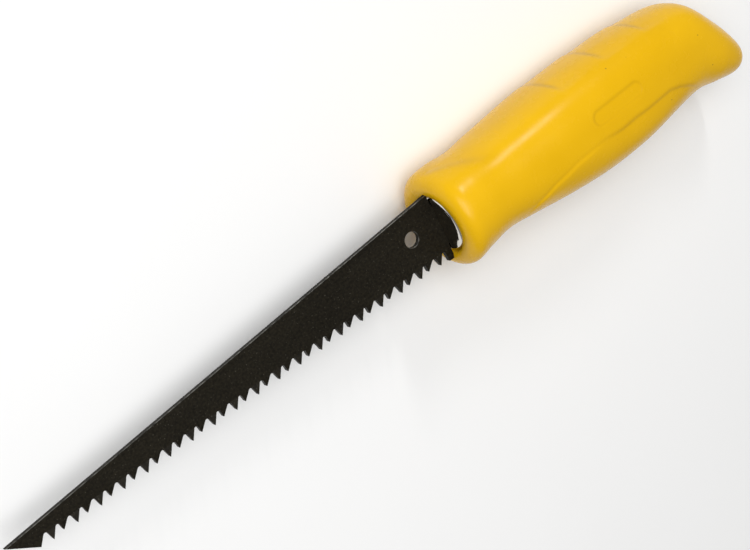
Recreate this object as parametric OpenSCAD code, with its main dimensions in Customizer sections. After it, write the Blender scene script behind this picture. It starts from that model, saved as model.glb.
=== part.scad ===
// Drywall saw, also called a jab saw: a stiff toothed blade held in a moulded handle.
// The saw lies on its side. +X runs from the handle to the blade's point, +Y from the
// spine to the teeth, and +Z up, square to the blade's flat face.
// The design is drawn with X = 0 at the handle's mouth and Y = Z = 0 on the blade's
// centreline. placed() then moves it to the origin, below the middle of the whole saw.

/* [Blade] */
// Length of the blade from the handle's mouth to its point
blade_len = 147.5; // [130:0.5:170]
// Width of the blade at the handle's mouth
heel_width = 20; // [18:0.5:22]
// Angle between the blade's centreline and each of its two edges
half_taper = 2.9; // [2:0.1:3.2]
// Thickness of the blade's plate
blade_thick = 1.5; // [1:0.1:2]
// Distance along the blade from its point back to the tip of the first tooth
nose_len = 7.8; // [4:0.2:9]
// Gap between the handle's mouth and the blade's shoulders, which rest on the lip
shoulder_x = 0.6; // [0.6:0.1:1]

/* [Teeth] */
// Teeth in each inch of the blade
teeth_per_inch = 7; // [6:1:8]
// Depth of a gullet below the tips of the teeth
tooth_depth = 2.6; // [1.5:0.1:2.8]
// Slope of a tooth's flank on the side of the blade's point
front_flank = 14; // [8:1:20]
// Slope of a tooth's flank on the side of the handle
rear_flank = 38; // [30:1:40]
// Width of a tooth's blunt tip
tip_flat = 0.1; // [0.05:0.05:0.3]
// Depth of the untoothed heel below the line of the teeth
heel_drop = 0.7; // [0:0.1:1]

/* [Hanging hole] */
// Diameter of the hole near the blade's heel
hole_dia = 4.5; // [3:0.5:6]
// Distance of the hole from the handle's mouth
hole_x = 10; // [8:0.5:14]
// Distance of the hole from the blade's centreline, towards the spine
hole_offset = 1.7; // [0:0.1:3]

/* [Tang and core] */
// Length of the tang inside the handle
tang_len = 58; // [50:1:62]
// Width of the tang
tang_width = 12; // [9:0.5:13]
// Length of the core that clamps the tang
core_len = 64; // [60:1:70]
// Radius of the core
core_r = 8; // [7.5:0.1:8]
// Radius of a rivet's shank
rivet_r = 2; // [1.5:0.1:2.5]
// Radius of a rivet's head
rivet_head_r = 3.5; // [3:0.1:3.6]
// Thickness of a rivet's head
rivet_head_h = 1.2; // [0.8:0.1:1.3]
// Distance of the front rivet from the mouth
front_rivet_x = 22; // [16:1:26]
// Distance of the rear rivet from the mouth
rear_rivet_x = 46; // [38:1:48]

/* [Ferrule] */
// Outer radius of the ferrule, a pressed metal cup that closes the handle's mouth
ferrule_r = 9; // [9:0.1:9.4]
// Length of the ferrule's sleeve
ferrule_len = 12; // [8:1:16]
// Thickness of the ferrule's metal
ferrule_wall = 0.9; // [0.6:0.1:0.9]
// Radius of the rounded edge round the ferrule's face
ferrule_edge_r = 1.6; // [1:0.1:2]

/* [Handle] */
// Stretch of the tail's rounded end beyond the last section
tail_cap = 0.9; // [0.6:0.1:1.2]
// Number of sides round the handle's surface
handle_sides = 48; // [32:4:64]
// Number of rings between two sections of the handle
rings_per_section = 4; // [3:1:5]

/* [Hidden] */
$fn = 64;
eps = 0.01;                // overlap that joins two shapes
slip = 0.05;               // gap between the pressed and clamped pieces
slot_gap = 0.15;           // gap round the tang in the ferrule's slot
pitch = 25.4 / teeth_per_inch;
first_tooth_x = blade_len - nose_len;
heel_min = 1;              // shortest untoothed heel between the last gullet and the shoulder
tooth_count = floor((first_tooth_x - shoulder_x - heel_min) / (pitch * cos(half_taper)));
edge_slope = tan(half_taper);
heel_y = heel_width / 2;
gullet_steps = 8;
tang_nose = 4;             // length of the tang's narrowed end
cavity_r = core_r + 2 * slip;
rivet_bore_r = rivet_r + slip;

// A rivet head's outer face, above the blade's plane: as high as the core's round
// surface lets the head sit below it, rounded down to a tenth
head_cover = 0.2;
head_reach = sqrt(pow(core_r, 2) - pow(rivet_head_r + slip, 2));
head_top = floor(10 * (head_reach - head_cover)) / 10;

// The gullet's arc touches both flanks, and this is the radius at which it also
// reaches the wanted depth.
flank_run = tan(front_flank) + tan(rear_flank);
flank_secants = 1 / cos(front_flank) + 1 / cos(rear_flank);
gullet_r = (pitch - tip_flat - tooth_depth * flank_run) / (flank_secants - flank_run);
gullet_v = tooth_depth - gullet_r;
gullet_u = tip_flat / 2 + gullet_v * tan(front_flank) + gullet_r / cos(front_flank);

// Sections of the handle, each across the plane of the blade:
// [x at the spine, y at the spine, x at the belly, y at the belly,
//  half width, roundness: 2 is an ellipse and more is boxier]
sections = [
    [0, -8.6, 0, 8.6, 8.6, 2],
    [0.5, -12, 0.5, 11.8, 12.7, 2],
    [-2, -14.8, -2, 14.1, 15.4, 2.1],
    [-8, -15.2, -8, 13, 15.2, 2.2],
    [-17, -14.7, -16, 12, 14.7, 2.3],
    [-29, -15.3, -26, 13.3, 15.2, 2.4],
    [-44, -16.2, -40, 15.4, 16, 2.5],
    [-60, -16.3, -55, 17, 16, 2.5],
    [-76, -15.8, -70, 17, 15.5, 2.5],
    [-90, -14.5, -84, 15.6, 14.2, 2.5],
    [-102, -11.5, -95, 15.1, 12.8, 2.4],
    [-110, -2, -104, 17, 11.2, 2.3],
    [-115.5, 7, -112, 18.5, 8.2, 2.2],
    [-118, 13.2, -116.7, 16.3, 4.2, 2]
];
last = len(sections) - 1;
cap_rings = 4;
cap_start = 0.7;           // how far round its arc the cap starts, to carry on the tail's slope
cap_end = 0.98;            // the last cap ring's place on the way to the end of the cap

// Catmull-Rom curve from p1 to p2
function curve(p0, p1, p2, p3, t) =
    0.5 * (2 * p1 + (p2 - p0) * t + (2 * p0 - 5 * p1 + 4 * p2 - p3) * t * t
           + (3 * p1 - p0 - 3 * p2 + p3) * t * t * t);

// Section number i, with one extra at each end that carries the curve straight on
function section(i) =
    i < 0 ? 2 * sections[0] - sections[1] :
    i > last ? 2 * sections[last] - sections[last - 1] : sections[i];

body_rings = concat(
    [for (i = [0 : last - 1], k = [0 : rings_per_section - 1])
        curve(section(i - 1), section(i), section(i + 1), section(i + 2), k / rings_per_section)],
    [sections[last]]
);

// The tail's rounded end: rings that shrink as they move off the last section
function cap_ring(t) =
    let (s = sections[last],
         mid = [s[0] + s[2], s[1] + s[3]] / 2,
         arm = [s[0] - s[2], s[1] - s[3]] / 2,
         out = [arm.y, -arm.x] / norm(arm),
         centre = mid + out * tail_cap * t,
         turned = cap_start + (1 - cap_start) * t,
         shrink = sqrt((1 - turned * turned) / (1 - cap_start * cap_start)))
    [centre.x + arm.x * shrink, centre.y + arm.y * shrink,
     centre.x - arm.x * shrink, centre.y - arm.y * shrink, s[4] * shrink, s[5]];

all_rings = concat(body_rings, [for (k = [1 : cap_rings]) cap_ring(cap_end * k / cap_rings)]);

function signed_power(v, p) = sign(v) * pow(abs(v), p);

// The points round one ring
function ring_points(r) =
    [for (j = [0 : handle_sides - 1])
        let (a = 360 * j / handle_sides,
             across = signed_power(cos(a), 2 / r[5]),
             up = signed_power(sin(a), 2 / r[5]))
        [(r[0] + r[2]) / 2 + across * (r[0] - r[2]) / 2,
         (r[1] + r[3]) / 2 + across * (r[1] - r[3]) / 2,
         up * r[4]]];

handle_points = [for (r = all_rings) each ring_points(r)];
ring_count = len(all_rings);

// The frame's origin, below the middle of the whole saw
low_x = min([for (p = handle_points) p.x]);
low_y = min([for (p = handle_points) p.y]);
high_y = max([for (p = handle_points) p.y]);
low_z = min([for (p = handle_points) p.z]);
origin_shift = [-(low_x + blade_len) / 2, -(low_y + high_y) / 2, -low_z];

module placed() {
    translate(origin_shift)
        children();
}

// A cylinder along X, from x_low to x_high
module bar(r, x_low, x_high) {
    translate([x_low, 0, 0])
        rotate([0, 90, 0])
            cylinder(r = r, h = x_high - x_low);
}

// A point in the teeth's own directions: u from a tooth's tip towards the blade's
// point, and v from the line of the tips into the blade.
function tooth_point(tip, u, v) = [
    tip.x + u * cos(half_taper) - v * sin(half_taper),
    tip.y - u * sin(half_taper) - v * cos(half_taper)
];

function tooth_tip(n) =
    let (x = first_tooth_x - n * pitch * cos(half_taper))
    [x, heel_y - x * edge_slope];

// The gullet on the handle's side of tooth n, walked towards the handle
function gullet(n) =
    let (next = tooth_tip(n + 1))
    [for (k = [0 : gullet_steps])
        let (a = rear_flank + (180 - rear_flank - front_flank) * k / gullet_steps)
        tooth_point(next, gullet_u + gullet_r * cos(a), gullet_v + gullet_r * sin(a))];

module blade_outline() {
    spine_heel = [shoulder_x, -heel_y + shoulder_x * edge_slope];
    spine_tip = [blade_len, -heel_y + blade_len * edge_slope];
    toothed_edge = [for (n = [0 : tooth_count - 1])
        each concat([tooth_point(tooth_tip(n), tip_flat / 2, 0),
                     tooth_point(tooth_tip(n), -tip_flat / 2, 0)], gullet(n))];
    heel_corner = tooth_point(tooth_tip(tooth_count), heel_drop * tan(front_flank), -heel_drop);
    heel_end = [shoulder_x, heel_corner.y + (heel_corner.x - shoulder_x) * edge_slope];
    polygon(concat([spine_heel, spine_tip], toothed_edge, [heel_corner, heel_end]));
}

module tang_outline() {
    front = shoulder_x + eps;
    polygon([[front, -tang_width / 2], [front, tang_width / 2],
             [tang_nose - tang_len, tang_width / 2], [-tang_len, tang_width / 4],
             [-tang_len, -tang_width / 4], [tang_nose - tang_len, -tang_width / 2]]);
}

// Black-coated steel plate: the toothed blade and the tang behind it
module blade() {
    color("#2a2723")
        placed()
            difference() {
                translate([0, 0, -blade_thick / 2])
                    linear_extrude(blade_thick)
                        union() {
                            blade_outline();
                            tang_outline();
                        }
                translate([hole_x, -hole_offset, -blade_thick])
                    cylinder(d = hole_dia, h = 2 * blade_thick);
                for (x = [front_rivet_x, rear_rivet_x])
                    translate([-x, 0, -blade_thick])
                        cylinder(r = rivet_bore_r, h = 2 * blade_thick);
            }
}

// Half of the cup's wall: the face and the sleeve, with a rounded edge between them
module ferrule_profile() {
    difference() {
        union() {
            square([ferrule_r - ferrule_edge_r, ferrule_len]);
            translate([0, ferrule_edge_r])
                square([ferrule_r, ferrule_len - ferrule_edge_r]);
            translate([ferrule_r - ferrule_edge_r, ferrule_edge_r])
                circle(r = ferrule_edge_r);
        }
        translate([-1, ferrule_wall])
            square([ferrule_r - ferrule_wall + 1, ferrule_len]);
    }
}

// Chromed cup in the handle's mouth, with a slot that the tang goes through
module ferrule() {
    color("#d9d9dc")
        placed()
            difference() {
                rotate([0, -90, 0])
                    rotate_extrude()
                        ferrule_profile();
                cube([4 * ferrule_wall, tang_width + 2 * slot_gap, blade_thick + 2 * slot_gap],
                     center = true);
            }
}

// One half of the core, on the +Z side of the blade's plane
module core_half() {
    difference() {
        bar(core_r, -core_len, -ferrule_wall - slip);
        translate([-core_len - 1, -core_r - 1, -core_r - 1])
            cube([core_len + 2, 2 * core_r + 2, core_r + 1 + slip / 2]);
        translate([-tang_len - slip, -tang_width / 2 - slip, -eps])
            cube([tang_len + 1, tang_width + 2 * slip, blade_thick / 2 + slip / 2 + eps]);
        for (x = [front_rivet_x, rear_rivet_x])
            translate([-x, 0, 0]) {
                cylinder(r = rivet_bore_r, h = core_r + 1);
                translate([0, 0, head_top - rivet_head_h - slip])
                    cylinder(r = rivet_head_r + slip, h = core_r);
            }
    }
}

// Moulded core that clamps the tang from above
module core_upper() {
    color("#3c3c3e")
        placed()
            core_half();
}

// Moulded core that clamps the tang from below
module core_lower() {
    color("#343436")
        placed()
            mirror([0, 0, 1])
                core_half();
}

// A rivet through both core halves and the tang, with a flat head at each end
module rivet(x) {
    translate([-x, 0, -head_top]) {
        cylinder(r = rivet_r, h = 2 * head_top);
        cylinder(r = rivet_head_r, h = rivet_head_h);
        translate([0, 0, 2 * head_top - rivet_head_h])
            cylinder(r = rivet_head_r, h = rivet_head_h);
    }
}

module front_rivet() {
    color("#9c9ea2")
        placed()
            rivet(front_rivet_x);
}

module rear_rivet() {
    color("#8e9094")
        placed()
            rivet(rear_rivet_x);
}

module handle_shape() {
    side_faces = [for (i = [0 : ring_count - 2], j = [0 : handle_sides - 1])
        let (k = (j + 1) % handle_sides,
             a = i * handle_sides + j,
             b = i * handle_sides + k,
             c = (i + 1) * handle_sides + k,
             d = (i + 1) * handle_sides + j)
        each [[a, d, c], [a, c, b]]];
    mouth_face = [for (j = [0 : handle_sides - 1]) j];
    tail_face = [for (j = [0 : handle_sides - 1]) ring_count * handle_sides - 1 - j];
    polyhedron(points = handle_points, faces = concat([mouth_face], side_faces, [tail_face]));
}

// Yellow moulded handle with a stepped cavity for the ferrule and the core
module handle() {
    color("#f2c21a")
        placed()
            difference() {
                handle_shape();
                bar(ferrule_r + slip, -ferrule_len - slip, 1);
                bar(cavity_r, -core_len - 1, 1);
            }
}

blade();
ferrule();
core_upper();
core_lower();
front_rivet();
rear_rivet();
handle();
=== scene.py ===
"""Looks of the drywall saw: handle moulding, toothed blade and chromed ferrule, in the CAD's frame.

Shapes are worked out in the design's own millimetres, the same as in part.scad: X = 0 at the
handle's mouth and +X towards the blade's point, +Y from the spine to the teeth, and Y = Z = 0 on
the blade's centreline. to_frame() turns them into the frame's metres.
"""
import math

import bmesh
import bpy
import numpy as np
from mathutils import Matrix, Vector
from mathutils.geometry import delaunay_2d_cdt


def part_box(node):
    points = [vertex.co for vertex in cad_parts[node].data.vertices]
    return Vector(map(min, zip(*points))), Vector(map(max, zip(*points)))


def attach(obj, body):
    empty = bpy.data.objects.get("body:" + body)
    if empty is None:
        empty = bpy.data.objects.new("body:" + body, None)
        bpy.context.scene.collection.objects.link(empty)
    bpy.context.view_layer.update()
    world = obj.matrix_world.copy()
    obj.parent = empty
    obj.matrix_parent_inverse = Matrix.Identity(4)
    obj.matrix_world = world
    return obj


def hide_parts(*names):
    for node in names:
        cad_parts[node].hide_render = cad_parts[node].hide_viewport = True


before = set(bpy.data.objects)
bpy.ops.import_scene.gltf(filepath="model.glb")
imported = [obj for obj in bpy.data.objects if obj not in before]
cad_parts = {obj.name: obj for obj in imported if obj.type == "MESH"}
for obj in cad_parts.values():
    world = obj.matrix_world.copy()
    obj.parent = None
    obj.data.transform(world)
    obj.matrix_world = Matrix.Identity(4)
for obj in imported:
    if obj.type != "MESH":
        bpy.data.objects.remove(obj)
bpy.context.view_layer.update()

MM = 0.001                   # metres in a millimetre
BODY = "root"                # the saw's only body
TINY = 1e-9
FINE_STEPS = 4001            # places on a curve that is measured to space points along it

# ---------------------------------------------------------------- sizes read from the frame

ferrule_low, ferrule_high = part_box("ferrule")
blade_low, blade_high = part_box("blade")
core_low, core_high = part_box("core_upper")

# The design's origin: the middle of the handle's mouth
ORIGIN = Vector((
    ferrule_high.x,
    (ferrule_low.y + ferrule_high.y) / 2,
    (ferrule_low.z + ferrule_high.z) / 2,
))

FERRULE_R = (ferrule_high.z - ferrule_low.z) / 2 / MM
FERRULE_LEN = (ferrule_high.x - ferrule_low.x) / MM
BLADE_LEN = (blade_high.x - ORIGIN.x) / MM
TANG_LEN = (ORIGIN.x - blade_low.x) / MM
BLADE_THICK = (blade_high.z - blade_low.z) / MM
CORE_LEN = (ORIGIN.x - core_low.x) / MM
CORE_R = (core_high.z - ORIGIN.z) / MM

# ---------------------------------------------------------------- sizes repeated from the CAD

# Millimetres, and angles in radians. Only SHOULDER_X differs from the CAD.

HALF_TAPER = math.radians(2.9)
HEEL_WIDTH = 20.0
NOSE_LEN = 7.8
SHOULDER_X = 0.2             # nearer the ferrule than in the CAD, so no light shows between them
PITCH = 25.4 / 7
TOOTH_DEPTH = 2.6
FRONT_FLANK = math.radians(14)
REAR_FLANK = math.radians(38)
TIP_FLAT = 0.1
HEEL_DROP = 0.7
HOLE_R = 2.25
HOLE_X = 10.0
HOLE_Y = -1.7
TANG_WIDTH = 12.0
TANG_NOSE = 4.0
RIVET_X = (-22.0, -46.0)
RIVET_BORE_R = 2.05
FERRULE_WALL = 0.9
FERRULE_EDGE_R = 1.6
SLOT_GAP = 0.15
SLIP = 0.05
TAIL_CAP = 0.9
CAP_START = 0.7

# Sections of the handle: x and y at the spine, x and y at the belly, half width, roundness
SECTIONS = np.array([
    [0, -8.6, 0, 8.6, 8.6, 2],
    [0.5, -12, 0.5, 11.8, 12.7, 2],
    [-2, -14.8, -2, 14.1, 15.4, 2.1],
    [-8, -15.2, -8, 13, 15.2, 2.2],
    [-17, -14.7, -16, 12, 14.7, 2.3],
    [-29, -15.3, -26, 13.3, 15.2, 2.4],
    [-44, -16.2, -40, 15.4, 16, 2.5],
    [-60, -16.3, -55, 17, 16, 2.5],
    [-76, -15.8, -70, 17, 15.5, 2.5],
    [-90, -14.5, -84, 15.6, 14.2, 2.5],
    [-102, -11.5, -95, 15.1, 12.8, 2.4],
    [-110, -2, -104, 17, 11.2, 2.3],
    [-115.5, 7, -112, 18.5, 8.2, 2.2],
    [-118, 13.2, -116.7, 16.3, 4.2, 2],
], float)

# ---------------------------------------------------------------- helpers


def to_frame(points):
    """Design millimetres to the frame's metres."""
    return np.asarray(points, float) * MM + np.array(ORIGIN)


def smooth_step(x, low, high):
    """0 below low, 1 above high, and a smooth rise between them."""
    t = np.clip((x - low) / (high - low), 0, 1)
    return t * t * (3 - 2 * t)


def new_piece(name, points, faces, node, material, sharp_deg):
    """A shaded mesh object, given in design millimetres, that stands for a CAD node."""
    mesh = bpy.data.meshes.new(name)
    mesh.from_pydata(to_frame(points).tolist(), [], faces)
    bm = bmesh.new()
    bm.from_mesh(mesh)
    bmesh.ops.recalc_face_normals(bm, faces=bm.faces)
    bm.to_mesh(mesh)
    bm.free()
    mesh.shade_smooth()
    mesh.set_sharp_from_angle(angle=math.radians(sharp_deg))
    mesh.materials.append(material)
    obj = bpy.data.objects.new(name, mesh)
    bpy.context.scene.collection.objects.link(obj)
    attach(obj, BODY)
    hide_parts(node)
    return obj


def tube_faces(rings, sides):
    """Quads between neighbouring rings of a closed tube whose points are numbered ring by ring."""
    return [
        (i * sides + j, i * sides + (j + 1) % sides,
         (i + 1) * sides + (j + 1) % sides, (i + 1) * sides + j)
        for i in range(rings - 1) for j in range(sides)
    ]


def polyline_distance(x, y, line):
    """Distance to a polyline, and the side: positive on the left of its direction."""
    best = np.full(np.shape(x), np.inf)
    side = np.zeros(np.shape(x))
    for (ax, ay), (bx, by) in zip(line[:-1], line[1:]):
        dx, dy = bx - ax, by - ay
        t = np.clip(((x - ax) * dx + (y - ay) * dy) / (dx * dx + dy * dy), 0, 1)
        gap = np.hypot(x - ax - t * dx, y - ay - t * dy)
        turn = np.sign(dx * (y - ay) - dy * (x - ax))
        nearer = gap < best
        best = np.where(nearer, gap, best)
        side = np.where(nearer, turn, side)
    return best, side


# ---------------------------------------------------------------- materials


PATCHES = (0.35, 0.65)       # range of the noise that makes patches, from one colour to another
WANDER = (0.3, 0.7)          # range of the noise that makes the roughness uneven
DOT_CORE = 0.7               # share of a dot's radius that is solid; its edge is soft
COLOUR_A, COLOUR_B, COLOUR_RESULT = 6, 7, 2      # the Mix node's sockets for colours


class Nodes:
    """A material with its Principled shader, and short calls that add nodes to it."""

    def __init__(self, name):
        self.material = bpy.data.materials.new(name)
        self.material.use_nodes = True
        self.tree = self.material.node_tree
        self.shader = self.tree.nodes["Principled BSDF"]
        self.place = self.add("ShaderNodeTexCoord").outputs["Object"]

    def add(self, kind, **settings):
        """A new node of this kind."""
        node = self.tree.nodes.new(kind)
        for key, value in settings.items():
            setattr(node, key, value)
        return node

    def link(self, source, target):
        """Joins an output to an input."""
        self.tree.links.new(source, target)

    def set(self, **values):
        """Constant values of the shader's own sockets."""
        for key, value in values.items():
            self.shader.inputs[key.replace("_", " ")].default_value = value

    def noise(self, size_mm, detail=3.0, stretch=(1, 1, 1)):
        """Noise whose grains are about size_mm across, and longer by the stretch."""
        mapping = self.add("ShaderNodeMapping")
        mapping.inputs["Scale"].default_value = [1 / s for s in stretch]
        self.link(self.place, mapping.inputs["Vector"])
        node = self.add("ShaderNodeTexNoise")
        node.inputs["Scale"].default_value = 1 / (size_mm * MM)
        node.inputs["Detail"].default_value = detail
        self.link(mapping.outputs["Vector"], node.inputs["Vector"])
        return node.outputs["Fac"]

    def spread(self, source, low, high, to_low=0.0, to_high=1.0):
        """The source's values from low to high, spread from to_low to to_high."""
        node = self.add("ShaderNodeMapRange")
        for key, value in (("From Min", low), ("From Max", high),
                           ("To Min", to_low), ("To Max", to_high)):
            node.inputs[key].default_value = value
        self.link(source, node.inputs["Value"])
        return node.outputs["Result"]

    def patches(self, size_mm, **how):
        """Soft patches about size_mm across, from 0 to 1."""
        return self.spread(self.noise(size_mm, **how), *PATCHES)

    def mix(self, factor, first, second):
        """A colour between first and second. Each is a colour or another node's output."""
        node = self.add("ShaderNodeMix", data_type="RGBA")
        self.link(factor, node.inputs["Factor"])
        for value, socket in ((first, node.inputs[COLOUR_A]), (second, node.inputs[COLOUR_B])):
            if isinstance(value, tuple):
                socket.default_value = (*value, 1)
            else:
                self.link(value, socket)
        return node.outputs[COLOUR_RESULT]

    def attribute(self, name):
        """A value that the mesh keeps at each of its points."""
        return self.add("ShaderNodeAttribute", attribute_name=name).outputs["Fac"]

    def dots(self, gap_mm, radius_mm):
        """1 inside small dots that are scattered about gap_mm apart, and 0 elsewhere."""
        node = self.add("ShaderNodeTexVoronoi")
        node.inputs["Scale"].default_value = 1 / (gap_mm * MM)
        self.link(self.place, node.inputs["Vector"])
        edge = radius_mm / gap_mm
        return self.spread(node.outputs["Distance"], DOT_CORE * edge, edge, 1.0, 0.0)

    def colour(self, source):
        """The shader's base colour."""
        self.link(source, self.shader.inputs["Base Color"])

    def roughness(self, low, high, size_mm, **how):
        """Roughness that wanders from low to high over about size_mm."""
        noise = self.noise(size_mm, **how)
        self.link(self.spread(noise, *WANDER, low, high), self.shader.inputs["Roughness"])

    def bump(self, depth_mm, size_mm, **how):
        """A fine texture that stands up to about depth_mm, with grains of size_mm."""
        node = self.add("ShaderNodeBump")
        node.inputs["Strength"].default_value = 1.0
        node.inputs["Distance"].default_value = depth_mm * MM
        self.link(self.noise(size_mm, **how), node.inputs["Height"])
        self.link(node.outputs["Normal"], self.shader.inputs["Normal"])


def handle_plastic():
    """Glossy yellow moulded plastic, slightly uneven, with sparse dark specks and painted shade in
    its creases.
    """
    m = Nodes("handle_plastic")
    plastic = m.mix(m.patches(22, detail=2), (0.755, 0.426, 0.003), (0.795, 0.454, 0.005))
    specked = m.mix(m.dots(5.0, 0.26), plastic, (0.30, 0.15, 0.010))
    # Painted shade: the creases' value kept on the mesh's points darkens the colour towards dark
    # brown
    m.colour(m.mix(m.attribute("painted_shade"), specked, (0.26, 0.125, 0.004)))
    m.roughness(0.23, 0.29, 3.5)
    m.bump(0.008, 1.1, detail=2)
    m.set(IOR=1.46, Specular_IOR_Level=0.22)
    return m.material


def blade_steel():
    """Black-brown coated steel with a satin finish, fine grain and a few pale specks."""
    m = Nodes("blade_steel")
    cloud = m.patches(5, stretch=(3, 1, 1))
    dark = m.mix(cloud, (0.0055, 0.0045, 0.0028), (0.0080, 0.0066, 0.0040))
    light = m.mix(cloud, (0.0125, 0.0103, 0.0062), (0.0165, 0.0138, 0.0085))
    coat = m.mix(m.patches(0.7, detail=2), dark, light)
    specks = m.spread(m.noise(0.40, detail=1), 0.68, 0.78)
    m.colour(m.mix(specks, coat, (0.075, 0.070, 0.055)))
    m.roughness(0.40, 0.55, 1.5)
    m.bump(0.006, 0.25, detail=2)
    m.set(IOR=1.45, Specular_IOR_Level=0.12)
    return m.material


def worn_steel_and_highlight():
    """The blade's broken edges: coating worn through to grey steel in places, and lighter than the
    faces as a painted highlight along the edge.
    """
    m = Nodes("worn_steel_and_highlight")
    wear = m.spread(m.noise(1.8, detail=4), 0.38, 0.62)
    # Partly wear and partly a painted highlight: the edges are lighter than the faces to give the
    # bright line along them
    m.colour(m.mix(wear, (0.025, 0.024, 0.021), (0.15, 0.145, 0.13)))
    m.roughness(0.35, 0.5, 0.6)
    m.bump(0.006, 0.25, detail=2)
    m.set(Metallic=0.6)
    return m.material


def ferrule_chrome():
    """Bright chrome plate with the faint ripple of pressed metal."""
    m = Nodes("ferrule_chrome")
    m.colour(m.mix(m.noise(6), (0.66, 0.63, 0.57), (0.76, 0.73, 0.67)))
    m.roughness(0.04, 0.09, 1.2)
    m.bump(0.015, 3.0, detail=1)
    m.set(Metallic=1.0)
    return m.material


def core_plastic():
    """Dull dark grey moulding of the core, which the handle hides."""
    m = Nodes("core_plastic")
    m.colour(m.mix(m.noise(4), (0.035, 0.035, 0.037), (0.055, 0.055, 0.057)))
    m.roughness(0.5, 0.62, 0.8)
    m.bump(0.02, 0.5)
    return m.material


def rivet_steel():
    """Zinc-bright steel of the rivets, brushed by the press."""
    m = Nodes("rivet_steel")
    m.colour(m.mix(m.noise(2), (0.46, 0.47, 0.49), (0.60, 0.60, 0.62)))
    m.roughness(0.28, 0.42, 0.4, stretch=(6, 1, 1))
    m.bump(0.008, 0.3, stretch=(6, 1, 1))
    m.set(Metallic=1.0)
    return m.material


def floor_paper():
    """Matt white paper, very slightly uneven."""
    m = Nodes("floor_paper")
    m.colour(m.mix(m.noise(60), (0.90, 0.90, 0.895), (0.92, 0.92, 0.915)))
    m.set(Roughness=0.9, Specular_IOR_Level=0.1)
    return m.material


# ---------------------------------------------------------------- handle

HANDLE_RINGS = 300           # fine enough for the moulded detail to be in the mesh
HANDLE_SIDES = 224
HANDLE_SHARP = 40            # degrees between faces that makes an edge sharp
CAP_RINGS = 14
TYPICAL_ROUNDNESS = 2.4      # of a handle section, for spacing the points round it
MOUTH_R = FERRULE_R + SLIP
MOUTH_LIP = 0.55             # from the mouth's radius out to the body's first ring
BORE_R = CORE_R + 2 * SLIP
SEAT_X = -FERRULE_LEN - SLIP
BORE_END_X = -CORE_LEN - 1   # the cavity ends 1 mm behind the core
# The mouth's wall and its wider recess, as x and how far it is outside MOUTH_R
MOUTH_PROFILE = [(-4.0, 0), (-1.6, 0), (-1.0, 0.16), (-0.2, 0.22), (-0.02, 0.30), (0.05, 0.42)]

# The moulded detail. A place "round" the handle is in degrees from the spine, 90 at the side's
# middle. A painted shade value says how dark the colour of the crease is painted, from 0 to 1. The
# rest is in millimetres.

# Shallow steps across the spine
SCALLOP_X = (-47.5, -65.0, -82.5)
SCALLOP_DEPTH = 0.38
SCALLOP_LEN = 13.0
SCALLOP_HALF_STEP = 1.3
SCALLOP_BEND = 0.011         # how fast a step bends back to each side of the spine
SCALLOP_ON_SPINE = 0.55      # share of the depth on the spine itself
SCALLOP_BESIDE = 0.45        # share that is added beside it
SCALLOP_GROWS = (3, 16)      # round the handle
SCALLOP_ENDS = (24, 38)      # round the handle
# Painted shade: the colour darkens in a line just behind each step, where shade falls
SCALLOP_PAINTED_SHADE = 0.30
SCALLOP_PAINTED_SHADE_AT = 0.2       # behind the step's middle
SCALLOP_PAINTED_SHADE_WIDTH = 0.9
SCALLOP_PAINTED_SHADE_ENDS = (10, 34)

# Soft crease from the spine down each side behind the mouth, as (x, z)
CREASE_LINE = [(-3.5, 0.8), (-4.6, 1.9), (-10.3, 6.1), (-16.1, 9.5), (-21.0, 11.5)]
CREASE_DEPTH = 0.36
CREASE_HALF_STEP = 2.2
CREASE_LEN = 12
CREASE_ENDS_ROUND = (55, 80)
CREASE_ENDS_ALONG = (13, 23)
# Painted shade: the colour darkens along the crease line
CREASE_PAINTED_SHADE = 0.11
CREASE_PAINTED_SHADE_WIDTH = 1.6

# Finger panel on each side: the line between it and the palm's side, as (x, y)
PANEL_LINE = [
    (-19.5, 9.6), (-24.6, 7.6), (-27.2, 6.9), (-30.7, 5.7), (-34.4, 5.1), (-40.2, 4.0),
    (-45.3, 3.8), (-51.8, 3.5), (-58.2, 4.2), (-64.1, 4.0), (-69.8, 4.3), (-75.4, 4.3),
    (-79.5, 4.4), (-83.8, 5.7), (-88.1, 8.0), (-91.4, 10.3), (-94.5, 13.0),
]
PANEL_STARTS = (19.5, 28)
PANEL_ENDS = (88, 96)
PANEL_TURNS = (42, 60)       # from raised at the front to sunk at the back
PANEL_RAISED = 0.25
PANEL_SUNK = 0.40
PANEL_STEP = (-0.3, 0.5)     # across the line, + is inside the panel
PANEL_LEN = 5                # how far the level runs out inside the panel at the front
PANEL_LEN_MORE = 4           # and how much further at the back
PANEL_GROOVE = 0.10
PANEL_GROOVE_AT = -0.35
PANEL_GROOVE_WIDTH = 0.38
# Painted shade: the colour darkens along the panel's edge, more towards the back
PANEL_PAINTED_SHADE = 0.14
PANEL_PAINTED_SHADE_AT = -0.25
PANEL_PAINTED_SHADE_WIDTH = 0.5
PANEL_PAINTED_SHADE_FRONT = 0.5      # share of the painted shade at the front
PANEL_PAINTED_SHADE_BACK = 0.5       # share that is added towards the back

# Plain plate with round ends on the palm's side
PLATE_CENTRE = (-60.15, -3.15)
PLATE_HALF = (9.85, 2.2)
PLATE_DEPTH = 0.28
PLATE_HALF_STEP = 0.5
# Painted shade: the colour darkens round the plate's edge
PLATE_PAINTED_SHADE = 0.12
PLATE_PAINTED_SHADE_WIDTH = 0.4

# Where the panel and the plate are allowed, round the handle
SIDE_STARTS = (25, 40)
SIDE_ENDS = (140, 155)


def section(i):
    """Section i, with one extra beyond each end that carries the curve straight on."""
    if i < 0:
        return 2 * SECTIONS[0] - SECTIONS[1]
    if i >= len(SECTIONS):
        return 2 * SECTIONS[-1] - SECTIONS[-2]
    return SECTIONS[i]


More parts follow.
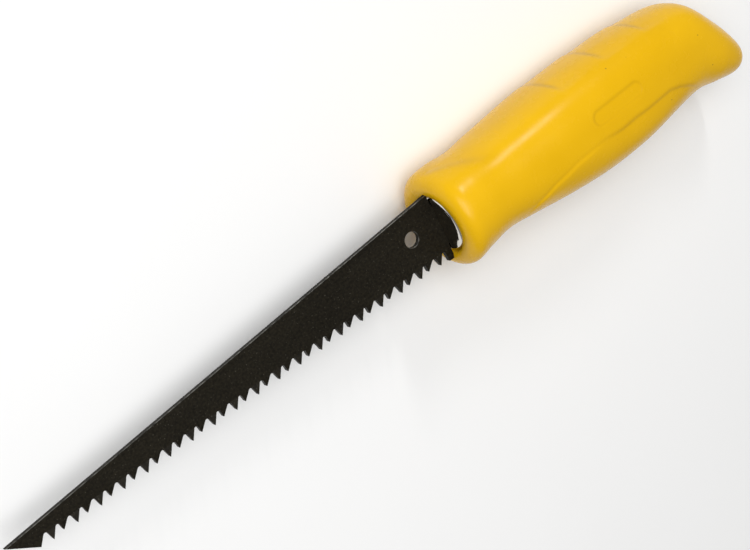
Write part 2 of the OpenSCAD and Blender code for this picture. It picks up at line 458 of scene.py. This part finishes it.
def section_at(s):
    """The section at place s along the handle, on a Catmull-Rom curve through the table."""
    i = min(int(s), len(SECTIONS) - 2)
    t = s - i
    p0, p1, p2, p3 = (section(i + k) for k in (-1, 0, 1, 2))
    return 0.5 * (2 * p1 + (p2 - p0) * t + (2 * p0 - 5 * p1 + 4 * p2 - p3) * t * t
                  + (3 * p1 - p0 - 3 * p2 + p3) * t ** 3)


def cap_section(t):
    """A section of the tail's rounded end, from 0 at the last section to 1 at its tip."""
    s = SECTIONS[-1]
    mid = (s[0:2] + s[2:4]) / 2
    arm = (s[0:2] - s[2:4]) / 2
    out = np.array([arm[1], -arm[0]]) / np.hypot(*arm)
    centre = mid + out * TAIL_CAP * t
    turned = CAP_START + (1 - CAP_START) * t
    shrink = math.sqrt(max(0.0, 1 - turned ** 2) / (1 - CAP_START ** 2))
    return np.array([*(centre + arm * shrink), *(centre - arm * shrink), s[4] * shrink, s[5]])


def even_angles(sides):
    """Angles whose points are evenly spaced round a typical section."""
    fine = np.linspace(0, math.pi / 2, FINE_STEPS)
    x = np.abs(np.cos(fine)) ** (2 / TYPICAL_ROUNDNESS)
    y = np.abs(np.sin(fine)) ** (2 / TYPICAL_ROUNDNESS)
    walked = np.concatenate([[0], np.cumsum(np.hypot(np.diff(x), np.diff(y)))])
    quarter = np.interp(np.linspace(0, walked[-1], sides // 4 + 1)[:-1], walked, fine)
    return np.concatenate([quarter + k * math.pi / 2 for k in range(4)])


def ring(s, angles):
    """The points round a section: angle 0 at the spine, and a quarter turn at +Z."""
    power = 2 / s[5]
    across = np.sign(np.cos(angles)) * np.abs(np.cos(angles)) ** power
    up = np.sign(np.sin(angles)) * np.abs(np.sin(angles)) ** power
    return np.stack([(s[0] + s[2]) / 2 + across * (s[0] - s[2]) / 2,
                     (s[1] + s[3]) / 2 + across * (s[1] - s[3]) / 2,
                     up * s[4]], axis=1)


def even_places(count, start):
    """Places along the handle, from the mouth's edge to the last section, evenly spaced."""
    fine = np.linspace(start, len(SECTIONS) - 1, FINE_STEPS)
    table = np.array([section_at(s)[:5] for s in fine])
    step = np.abs(np.diff(table, axis=0))
    length = np.maximum(np.hypot(step[:, 0], step[:, 1]), np.hypot(step[:, 2], step[:, 3]))
    length = np.maximum(length, step[:, 4])
    walked = np.concatenate([[0], np.cumsum(length)])
    return np.interp(np.linspace(0, walked[-1], count), walked, fine)


def grid_normals(grid):
    """Outward normals of a grid of points: rings first, then round each ring."""
    along = np.gradient(grid, axis=0)
    around = (np.roll(grid, -1, axis=1) - np.roll(grid, 1, axis=1)) / 2
    normal = np.cross(around, along)
    return normal / np.maximum(np.linalg.norm(normal, axis=2, keepdims=True), TINY)


def ridge(distance, width):
    """1 on a line, falling smoothly to 0 about two widths away."""
    return np.exp(-(distance / width) ** 2)


def step_down(behind, half_step, length):
    """A soft step of depth 1, with a slow rise behind it that ends at the length."""
    return smooth_step(behind, -half_step, half_step) * (1 - smooth_step(behind, half_step, length))


def scallops(x, z, around):
    """Three shallow steps across the spine."""
    near_spine = ((SCALLOP_ON_SPINE + SCALLOP_BESIDE * smooth_step(around, *SCALLOP_GROWS))
                  * (1 - smooth_step(around, *SCALLOP_ENDS)))
    depth = np.zeros_like(x)
    painted_shade = np.zeros_like(x)
    for step_x in SCALLOP_X:
        behind = step_x - SCALLOP_BEND * z * z - x
        depth += step_down(behind, SCALLOP_HALF_STEP, SCALLOP_LEN)
        # Painted shade in a line just behind the step
        painted_shade += ridge(behind - SCALLOP_PAINTED_SHADE_AT, SCALLOP_PAINTED_SHADE_WIDTH)
    fade = 1 - smooth_step(around, *SCALLOP_PAINTED_SHADE_ENDS)
    return -SCALLOP_DEPTH * depth * near_spine, SCALLOP_PAINTED_SHADE * painted_shade * fade


def finger_panel(x, y):
    """The panel's edge: a fine groove along it, raised inside at the front, sunk at the back."""
    gap, side = polyline_distance(x, y, PANEL_LINE)
    inside = -gap * side
    fade = smooth_step(-x, *PANEL_STARTS) * (1 - smooth_step(-x, *PANEL_ENDS))
    back = smooth_step(-x, *PANEL_TURNS)
    level = PANEL_RAISED * (1 - back) - PANEL_SUNK * back
    length = PANEL_LEN + PANEL_LEN_MORE * back
    panel = (level * smooth_step(inside, *PANEL_STEP)
             * (1 - smooth_step(inside, PANEL_STEP[1], length)))
    groove = ridge(inside - PANEL_GROOVE_AT, PANEL_GROOVE_WIDTH)
    # Painted shade along the edge, stronger towards the back
    share = PANEL_PAINTED_SHADE_FRONT + PANEL_PAINTED_SHADE_BACK * back
    painted_shade = share * ridge(inside - PANEL_PAINTED_SHADE_AT, PANEL_PAINTED_SHADE_WIDTH)
    return (panel - PANEL_GROOVE * groove) * fade, PANEL_PAINTED_SHADE * painted_shade * fade


def plain_plate(x, y):
    """A plain sunk plate with round ends on the palm's side."""
    half_length, end_r = PLATE_HALF
    dx = np.maximum(np.abs(x - PLATE_CENTRE[0]) - (half_length - end_r), 0)
    outside = np.hypot(dx, y - PLATE_CENTRE[1]) - end_r
    depth = 1 - smooth_step(outside, -PLATE_HALF_STEP, PLATE_HALF_STEP)
    # The second value is painted shade round the plate's edge
    return -PLATE_DEPTH * depth, PLATE_PAINTED_SHADE * ridge(outside, PLATE_PAINTED_SHADE_WIDTH)


def crease(x, z, around):
    """A soft step down behind the mouth's bulge."""
    gap, side = polyline_distance(x, z, CREASE_LINE)
    behind = gap * side
    fade = ((1 - smooth_step(around, *CREASE_ENDS_ROUND))
            * (1 - smooth_step(-x, *CREASE_ENDS_ALONG)))
    step = step_down(behind, CREASE_HALF_STEP, CREASE_LEN)
    # Painted shade along the crease
    painted_shade = ridge(behind, CREASE_PAINTED_SHADE_WIDTH)
    return -CREASE_DEPTH * step * fade, CREASE_PAINTED_SHADE * painted_shade * fade


def relief(grid, around):
    """How far the moulded detail moves each point outward, and the painted shade of its creases.
    Both sides are alike.
    """
    x, y, z = grid[..., 0], grid[..., 1], np.abs(grid[..., 2])
    on_side = smooth_step(around, *SIDE_STARTS) * (1 - smooth_step(around, *SIDE_ENDS))
    at_spine = np.add(scallops(x, z, around), crease(x, z, around))
    at_side = on_side * np.add(finger_panel(x, y), plain_plate(x, y))
    height, painted_shade = at_spine + at_side
    return height, np.clip(painted_shade, 0, 1)


def turned_rings(profile, angles):
    """Rings round the X axis through a profile of (x, radius), starting at the spine."""
    return [np.stack([np.full_like(angles, x), -r * np.cos(angles), r * np.sin(angles)], axis=1)
            for x, r in profile]


def handle_mouth(angles):
    """Rings from the bottom of the cavity out to the mouth's edge."""
    profile = [(BORE_END_X, BORE_R), (SEAT_X, BORE_R), (SEAT_X, MOUTH_R)]
    profile += [(x, MOUTH_R + outside) for x, outside in MOUTH_PROFILE]
    return turned_rings(profile, angles)


def handle_body(angles):
    """Rings of the handle's outside, from the mouth's edge to the tail, and the tail's centre."""
    places = np.linspace(0, 1, 201)
    start = np.interp(MOUTH_R + MOUTH_LIP, [-section_at(s)[1] for s in places], places)
    body = [ring(section_at(s), angles) for s in even_places(HANDLE_RINGS, start)]
    cap_places = np.sin(np.linspace(0, math.pi / 2, CAP_RINGS + 1)[1:-1])
    body += [ring(cap_section(t), angles) for t in cap_places]
    tail_x, tail_y = cap_section(1.0)[:2]
    return np.array(body), [tail_x, tail_y, 0]


def build_handle(material):
    """The whole moulding: cavity, mouth, body and tail, with the painted shade of its creases kept
    on the points.
    """
    angles = even_angles(HANDLE_SIDES)
    around = np.degrees(np.minimum(angles, 2 * math.pi - angles))
    grid, tail = handle_body(angles)
    height, painted_shade = relief(grid, around[None, :])
    grid += grid_normals(grid) * height[..., None]
    mouth = handle_mouth(angles)
    rings = mouth + list(grid)
    points = np.concatenate([*rings, [tail, [BORE_END_X, 0, 0]]])
    faces = tube_faces(len(rings), HANDLE_SIDES)
    end = (len(rings) - 1) * HANDLE_SIDES
    for j in range(HANDLE_SIDES):
        k = (j + 1) % HANDLE_SIDES
        faces.append((end + j, end + k, len(points) - 2))
        faces.append((k, j, len(points) - 1))
    handle = new_piece("handle_moulding", points, faces, "handle",
                       material, HANDLE_SHARP)
    # The painted shade of the creases goes on the points, for the material to darken its colour
    on_points = np.zeros(len(points), np.float32)
    first = len(mouth) * HANDLE_SIDES
    on_points[first:first + painted_shade.size] = painted_shade.ravel()
    handle.data.attributes.new("painted_shade", "FLOAT", "POINT").data.foreach_set("value", on_points)


# ---------------------------------------------------------------- blade

TOOTH_SET = 0.65             # how far a tooth's tip leans out of the blade's plane
CHAMFER = 0.16               # broken edge along the spine, the nose and the holes
BLADE_SHARP = 12             # degrees between faces that makes an edge sharp
HOLE_SIDES = 64
RIVET_SIDES = 32
INSIDE_ONLY = 1              # the triangulation keeps what is inside the outline
MERGE_DISTANCE = 1e-6
WORN_AND_HIGHLIGHT = 1                     # the place in the blade's material slots of the worn steel with its painted highlight
FIRST_TOOTH_X = BLADE_LEN - NOSE_LEN
TOOTH_COUNT = int(FIRST_TOOTH_X / (PITCH * math.cos(HALF_TAPER)))
GULLET_STEPS = 12
FLANK_RUN = math.tan(FRONT_FLANK) + math.tan(REAR_FLANK)
FLANK_SECANTS = 1 / math.cos(FRONT_FLANK) + 1 / math.cos(REAR_FLANK)
GULLET_R = (PITCH - TIP_FLAT - TOOTH_DEPTH * FLANK_RUN) / (FLANK_SECANTS - FLANK_RUN)
GULLET_V = TOOTH_DEPTH - GULLET_R
GULLET_U = TIP_FLAT / 2 + GULLET_V * math.tan(FRONT_FLANK) + GULLET_R / math.cos(FRONT_FLANK)
EDGE_SLOPE = math.tan(HALF_TAPER)


def tooth_tip(n):
    """The place of tooth n's tip. Tooth 0 is the one nearest the blade's point."""
    x = FIRST_TOOTH_X - n * PITCH * math.cos(HALF_TAPER)
    return x, HEEL_WIDTH / 2 - x * EDGE_SLOPE


def tooth_point(n, u, v):
    """A point in a tooth's own directions: u towards the blade's point, v into the blade."""
    x, y = tooth_tip(n)
    c, s = math.cos(HALF_TAPER), math.sin(HALF_TAPER)
    return x + u * c - v * s, y - u * s - v * c


def tooth_lean(n, v):
    """How far tooth n leans towards +Z at depth v. The first tooth is straight."""
    if n == 0 or n >= TOOTH_COUNT:
        return 0.0
    return TOOTH_SET * (1 if n % 2 else -1) * max(0.0, 1 - v / TOOTH_DEPTH)


def toothed_edge():
    """Points (x, y, lean) from the first tooth to the heel, and which are a gullet's bottom."""
    edge, bottoms = [], []
    for n in range(TOOTH_COUNT):
        edge.append((*tooth_point(n, TIP_FLAT / 2, 0), tooth_lean(n, 0)))
        edge.append((*tooth_point(n, -TIP_FLAT / 2, 0), tooth_lean(n, 0)))
        first, last = REAR_FLANK, math.pi - FRONT_FLANK
        turns = np.concatenate([np.linspace(first, math.pi / 2, GULLET_STEPS // 2 + 1)[:-1],
                                np.linspace(math.pi / 2, last, GULLET_STEPS // 2 + 1)])
        for a in turns:
            v = GULLET_V + GULLET_R * math.sin(a)
            owner = n if a < math.pi / 2 else n + 1
            if abs(a - math.pi / 2) < TINY:
                bottoms.append(len(edge))
            edge.append((*tooth_point(n + 1, GULLET_U + GULLET_R * math.cos(a), v),
                         tooth_lean(owner, v)))
    return edge, bottoms


def circle(x, y, r, sides):
    """Points round a circle."""
    return [(x + r * math.cos(2 * math.pi * k / sides), y + r * math.sin(2 * math.pi * k / sides))
            for k in range(sides)]


def blade_outline(edge):
    """The outline from the spine's heel round to the shoulder, as points (x, y, lean, drop).

    lean is how far a point of a set tooth is moved out of the plane, and drop is how far a point
    of a chamfer is lowered from each face.
    """
    spine_heel = (SHOULDER_X, -HEEL_WIDTH / 2 + SHOULDER_X * EDGE_SLOPE)
    spine_tip = (BLADE_LEN, -HEEL_WIDTH / 2 + BLADE_LEN * EDGE_SLOPE)
    heel = tooth_point(TOOTH_COUNT, HEEL_DROP * math.tan(FRONT_FLANK), -HEEL_DROP)
    heel_end = (SHOULDER_X, heel[1] + (heel[0] - SHOULDER_X) * EDGE_SLOPE)
    half, back = TANG_WIDTH / 2, -TANG_LEN
    points = [(*spine_heel, 0, CHAMFER), (*spine_tip, 0, CHAMFER)]
    points += [(x, y, lean, 0) for x, y, lean in edge]
    points += [(*heel, 0, 0), (*heel_end, 0, 0), (SHOULDER_X, half, 0, 0),
               (back + TANG_NOSE, half, 0, 0), (back, half / 2, 0, 0), (back, -half / 2, 0, 0),
               (back + TANG_NOSE, -half, 0, 0), (SHOULDER_X, -half, 0, 0)]
    return points


def chamfer_line(spine_heel, spine_tip, first_tooth):
    """The chamfer's inner line, at the heel and at the blade's point."""
    tip = Vector(spine_tip)
    along_spine = (Vector(spine_heel) - tip).normalized()
    along_nose = (Vector(first_tooth) - tip).normalized()
    corner = math.sqrt(1 - along_spine.dot(along_nose) ** 2)
    inner_tip = tip + (along_spine + along_nose) * (CHAMFER / corner)
    inner_heel = Vector(spine_heel) + Vector((0, CHAMFER / math.cos(HALF_TAPER)))
    return [(*inner_heel, 0, 0), (*inner_tip, 0, 0)]


def blade_plan():
    """The blade seen from above: its points (x, y, lean, drop), outline, inner lines and holes."""
    edge, bottoms = toothed_edge()
    points = blade_outline(edge)
    outline = list(range(len(points)))
    first = 2                # the first tooth comes after the spine's heel and tip
    inner_heel, inner_tip = len(points), len(points) + 1
    points += chamfer_line(points[0][:2], points[1][:2], points[first][:2])
    outline.append(inner_heel)
    marks = [first + k for k in bottoms]
    lines = [(inner_heel, inner_tip), (inner_tip, first), *zip(marks[:-1], marks[1:])]
    holes = [(HOLE_X, HOLE_Y, HOLE_R, HOLE_SIDES)]
    holes += [(x, 0.0, RIVET_BORE_R, RIVET_SIDES) for x in RIVET_X]
    rims = []
    for x, y, r, sides in holes:
        rims.append(list(range(len(points), len(points) + sides)))
        points += [(*p, 0, CHAMFER) for p in circle(x, y, r, sides)]
        start = len(points)
        points += [(*p, 0, 0) for p in circle(x, y, r + CHAMFER, sides)]
        lines += [(start + k, start + (k + 1) % sides) for k in range(sides)]
    return np.array(points, float), [outline, *rims], lines, holes


def loop_edges(loop):
    """Neighbouring pairs round a closed loop."""
    return list(zip(loop, loop[1:] + loop[:1]))


def plan_triangles(plan, rims, lines, holes):
    """Triangles that fill the plan between its outline and its holes."""
    flat = [Vector((x, y)) for x, y in plan[:, :2]]
    edges = lines + [pair for rim in rims for pair in loop_edges(rim)]
    _, _, triangles, from_input, _, _ = delaunay_2d_cdt(
        flat, edges, [rims[0]], INSIDE_ONLY, MERGE_DISTANCE)
    source = [ids[0] for ids in from_input]
    kept = []
    for t in triangles:
        corners = [source[i] for i in t]
        middle = plan[corners, :2].mean(axis=0)
        if all(math.hypot(middle[0] - x, middle[1] - y) > r for x, y, r, _ in holes):
            kept.append(corners)
    return kept


def build_blade(material, edge_material):
    """The plate between two copies of its plan, with the worn steel on its chamfers, lighter as a
    painted highlight.
    """
    plan, rims, lines, holes = blade_plan()
    kept = plan_triangles(plan, rims, lines, holes)
    half = BLADE_THICK / 2
    top = np.column_stack([plan[:, :2], half - plan[:, 3] + plan[:, 2]])
    bottom = np.column_stack([plan[:, :2], -half + plan[:, 3] + plan[:, 2]])
    count = len(plan)
    faces = [tuple(c) for c in kept] + [tuple(i + count for i in reversed(c)) for c in kept]
    faces += [(a, a + count, b + count, b) for rim in rims for a, b in loop_edges(rim)]
    blade = new_piece("blade_plate", np.concatenate([top, bottom]), faces, "blade",
                      material, BLADE_SHARP)
    blade.data.materials.append(edge_material)
    # The chamfer faces get the lighter steel, which is partly wear and partly the edge's painted
    # highlight
    for k, corners in enumerate(kept):
        if any(plan[i, 3] > 0 for i in corners):
            blade.data.polygons[k].material_index = WORN_AND_HIGHLIGHT
            blade.data.polygons[k + len(kept)].material_index = WORN_AND_HIGHLIGHT


# ---------------------------------------------------------------- ferrule

FERRULE_SIDES = 160
FERRULE_SHARP = 35           # degrees between faces that makes an edge sharp
EDGE_STEPS = 14
CUP_LIP = 0.2                # broken edges of the cup's open end
LEAST_INNER_R = 0.3          # of the bend inside the cup's front edge


def ferrule_profile():
    """The cup's wall as (x, radius), from the outside of its face round to the inside."""
    inner_edge = max(FERRULE_EDGE_R - FERRULE_WALL, LEAST_INNER_R)
    inner_r = FERRULE_R - FERRULE_WALL
    outer = [(-FERRULE_EDGE_R * (1 - math.cos(a)), FERRULE_R - FERRULE_EDGE_R * (1 - math.sin(a)))
             for a in np.linspace(0, math.pi / 2, EDGE_STEPS)]
    open_end = [(-FERRULE_LEN + CUP_LIP, FERRULE_R), (-FERRULE_LEN, FERRULE_R - CUP_LIP),
                (-FERRULE_LEN, inner_r + CUP_LIP), (-FERRULE_LEN + CUP_LIP, inner_r)]
    inner = [(-FERRULE_WALL - inner_edge * (1 - math.cos(a)),
              inner_r - inner_edge * (1 - math.sin(a)))
             for a in np.linspace(math.pi / 2, 0, EDGE_STEPS)]
    return outer + open_end + inner


def build_ferrule(material):
    """A pressed cup, turned round the X axis, with a slot for the tang."""
    angles = np.arange(FERRULE_SIDES) * 2 * math.pi / FERRULE_SIDES
    rings = turned_rings(ferrule_profile(), angles)
    faces = tube_faces(len(rings), FERRULE_SIDES)
    end = (len(rings) - 1) * FERRULE_SIDES
    faces.append(tuple(range(FERRULE_SIDES)))
    faces.append(tuple(end + j for j in reversed(range(FERRULE_SIDES))))
    cup = new_piece("ferrule_cup", np.concatenate(rings), faces, "ferrule",
                    material, FERRULE_SHARP)
    cut_slot(cup)


def slot_cutter():
    """A box that is a little larger than the tang and passes through the cup's face."""
    half = np.array([2 * FERRULE_WALL, TANG_WIDTH / 2 + SLOT_GAP, BLADE_THICK / 2 + SLOT_GAP])
    mesh = bpy.data.meshes.new("slot_cutter")
    bm = bmesh.new()
    bmesh.ops.create_cube(bm, size=2)
    for v in bm.verts:
        v.co = Vector(to_frame(np.array(v.co) * half))
    bm.to_mesh(mesh)
    bm.free()
    cutter = bpy.data.objects.new("slot_cutter", mesh)
    bpy.context.scene.collection.objects.link(cutter)
    return cutter


def cut_slot(cup):
    """Cuts the tang's slot through the cup's face, and removes the cutter."""
    cutter = slot_cutter()
    cut = cup.modifiers.new("slot", "BOOLEAN")
    cut.operation, cut.solver, cut.object = "DIFFERENCE", "EXACT", cutter
    depsgraph = bpy.context.evaluated_depsgraph_get()
    finished = bpy.data.meshes.new_from_object(cup.evaluated_get(depsgraph))
    cup.modifiers.clear()
    cup.data = finished
    finished.shade_smooth()
    finished.set_sharp_from_angle(angle=math.radians(FERRULE_SHARP))
    bpy.data.objects.remove(cutter)


# ---------------------------------------------------------------- pieces

build_handle(handle_plastic())
build_blade(blade_steel(), worn_steel_and_highlight())
build_ferrule(ferrule_chrome())

# The CAD's own solids inside the handle keep their shape and get a better material
core_material, rivet_material = core_plastic(), rivet_steel()
for node, slot_name, material in (
    ("core_upper", "core_plastic", core_material),
    ("core_lower", "core_plastic", core_material),
    ("front_rivet", "rivet_steel", rivet_material),
    ("rear_rivet", "rivet_steel", rivet_material),
):
    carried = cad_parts[node]
    carried.data.materials.clear()
    carried.data.materials.append(material)

# ---------------------------------------------------------------- floor, light and camera

CAMERA_PLACE = ORIGIN + Vector((0.2172, -0.1931, 0.4055))
CAMERA_AZIMUTH = math.radians(44.91)
CAMERA_ELEVATION = math.radians(56.05)
CAMERA_ROLL = math.radians(102.7)
CAMERA_LENS = 86.4           # mm, on a sensor SENSOR_WIDTH wide
SENSOR_WIDTH = 36
CAMERA_NEAREST = 0.01        # nothing nearer than this is drawn, in metres
FLOOR_HALF = 3.0             # metres from the middle to each edge
WORLD_STRENGTH = 0.25
LIGHT_AIM = Vector((-0.05, 0, 0.016))
LIGHT_DISTANCE = 1.0         # metres from there to each light
# Each soft light: name, direction it comes from, size along the saw and across it, and watts.
# Sizes are in metres. The streak is small, for the highlight along the handle.
LIGHTS = [
    ("key", (0.40, -0.36, 0.85), 0.8, 0.8, 6.3),
    ("top", (0.04, -0.24, 0.97), 0.8, 0.8, 3.0),
    ("streak", (-0.36, -0.765, 0.535), 0.04, 0.26, 1.7),
]


def build_floor():
    """A plain white floor at the height where the saw rests."""
    h = FLOOR_HALF
    mesh = bpy.data.meshes.new("floor")
    mesh.from_pydata([(-h, -h, 0), (h, -h, 0), (h, h, 0), (-h, h, 0)], [], [(0, 1, 2, 3)])
    mesh.materials.append(floor_paper())
    floor = bpy.data.objects.new("floor", mesh)
    bpy.context.scene.collection.objects.link(floor)


def soft_light(name, direction, size_along, size_across, power):
    """An oval soft box that faces the saw, with one side along the saw's length."""
    data = bpy.data.lights.new(name, "AREA")
    data.shape = "ELLIPSE"
    data.size, data.size_y = size_along, size_across
    data.energy = power
    light = bpy.data.objects.new(name, data)
    towards = Vector(direction).normalized()
    along = (Vector((1, 0, 0)) - towards * towards.x).normalized()
    turn = Matrix((along, towards.cross(along), towards)).transposed().to_4x4()
    light.matrix_world = Matrix.Translation(LIGHT_AIM + towards * LIGHT_DISTANCE) @ turn
    bpy.context.scene.collection.objects.link(light)


def build_world():
    """Even white light from all round."""
    world = bpy.data.worlds.new("studio")
    world.use_nodes = True
    background = world.node_tree.nodes["Background"]
    background.inputs["Color"].default_value = (1, 1, 1, 1)
    background.inputs["Strength"].default_value = WORLD_STRENGTH
    bpy.context.scene.world = world


def build_camera():
    """A camera at the photo's angle, turned so that the blade runs to the lower left."""
    a, e, r = CAMERA_AZIMUTH, CAMERA_ELEVATION, CAMERA_ROLL
    back = Vector((math.sin(a) * math.cos(e), -math.cos(a) * math.cos(e), math.sin(e)))
    level_right = Vector((math.cos(a), math.sin(a), 0))
    level_up = back.cross(level_right)
    right = level_right * math.cos(r) + level_up * math.sin(r)
    up = back.cross(right)
    data = bpy.data.cameras.new("camera")
    data.lens = CAMERA_LENS
    data.sensor_width = SENSOR_WIDTH
    data.clip_start = CAMERA_NEAREST
    camera = bpy.data.objects.new("camera", data)
    turn = Matrix((right, up, back)).transposed().to_4x4()
    camera.matrix_world = Matrix.Translation(CAMERA_PLACE) @ turn
    bpy.context.scene.collection.objects.link(camera)
    bpy.context.scene.camera = camera


build_floor()
build_world()
for light_settings in LIGHTS:
    soft_light(*light_settings)
build_camera()
bpy.context.scene.view_settings.view_transform = "Standard"
